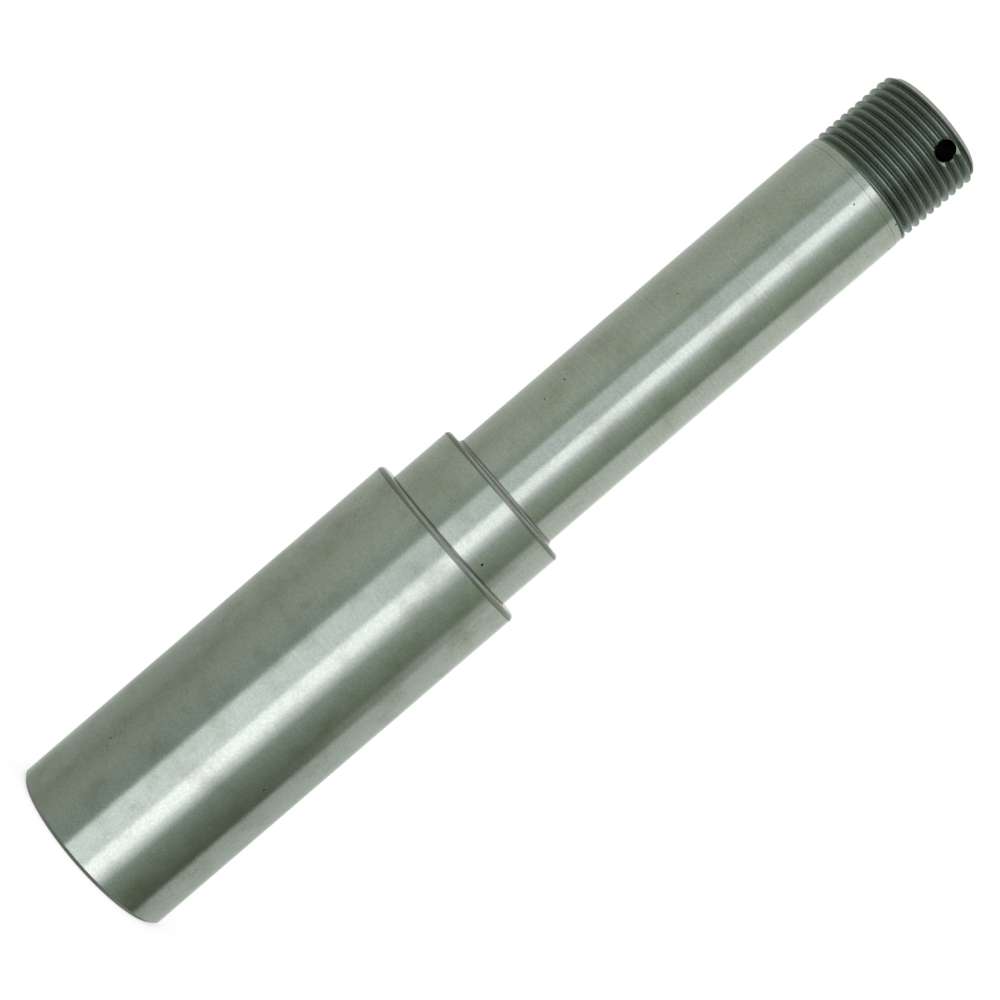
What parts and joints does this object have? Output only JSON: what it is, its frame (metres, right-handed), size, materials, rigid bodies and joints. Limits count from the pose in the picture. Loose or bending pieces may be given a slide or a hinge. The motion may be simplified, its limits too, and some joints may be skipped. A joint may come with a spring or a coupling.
{
  "type": "stepped shaft",
  "caption": "Stepped steel shaft with a large plain body, a seal collar, a long bearing journal and a threaded end with a cross hole.",
  "frame": {"origin": "centre of the large plain end, which the shaft stands on", "axes": "+Z along the shaft towards the threaded end; the split-pin hole runs along Y"},
  "size_m": [0.0382, 0.038, 0.2095],
  "materials": {
    "steel": "ground and bare, with a fine turning grain"
  },
  "bodies": {
    "root": {"shaft": "steel"}
  },
  "joints": []
}
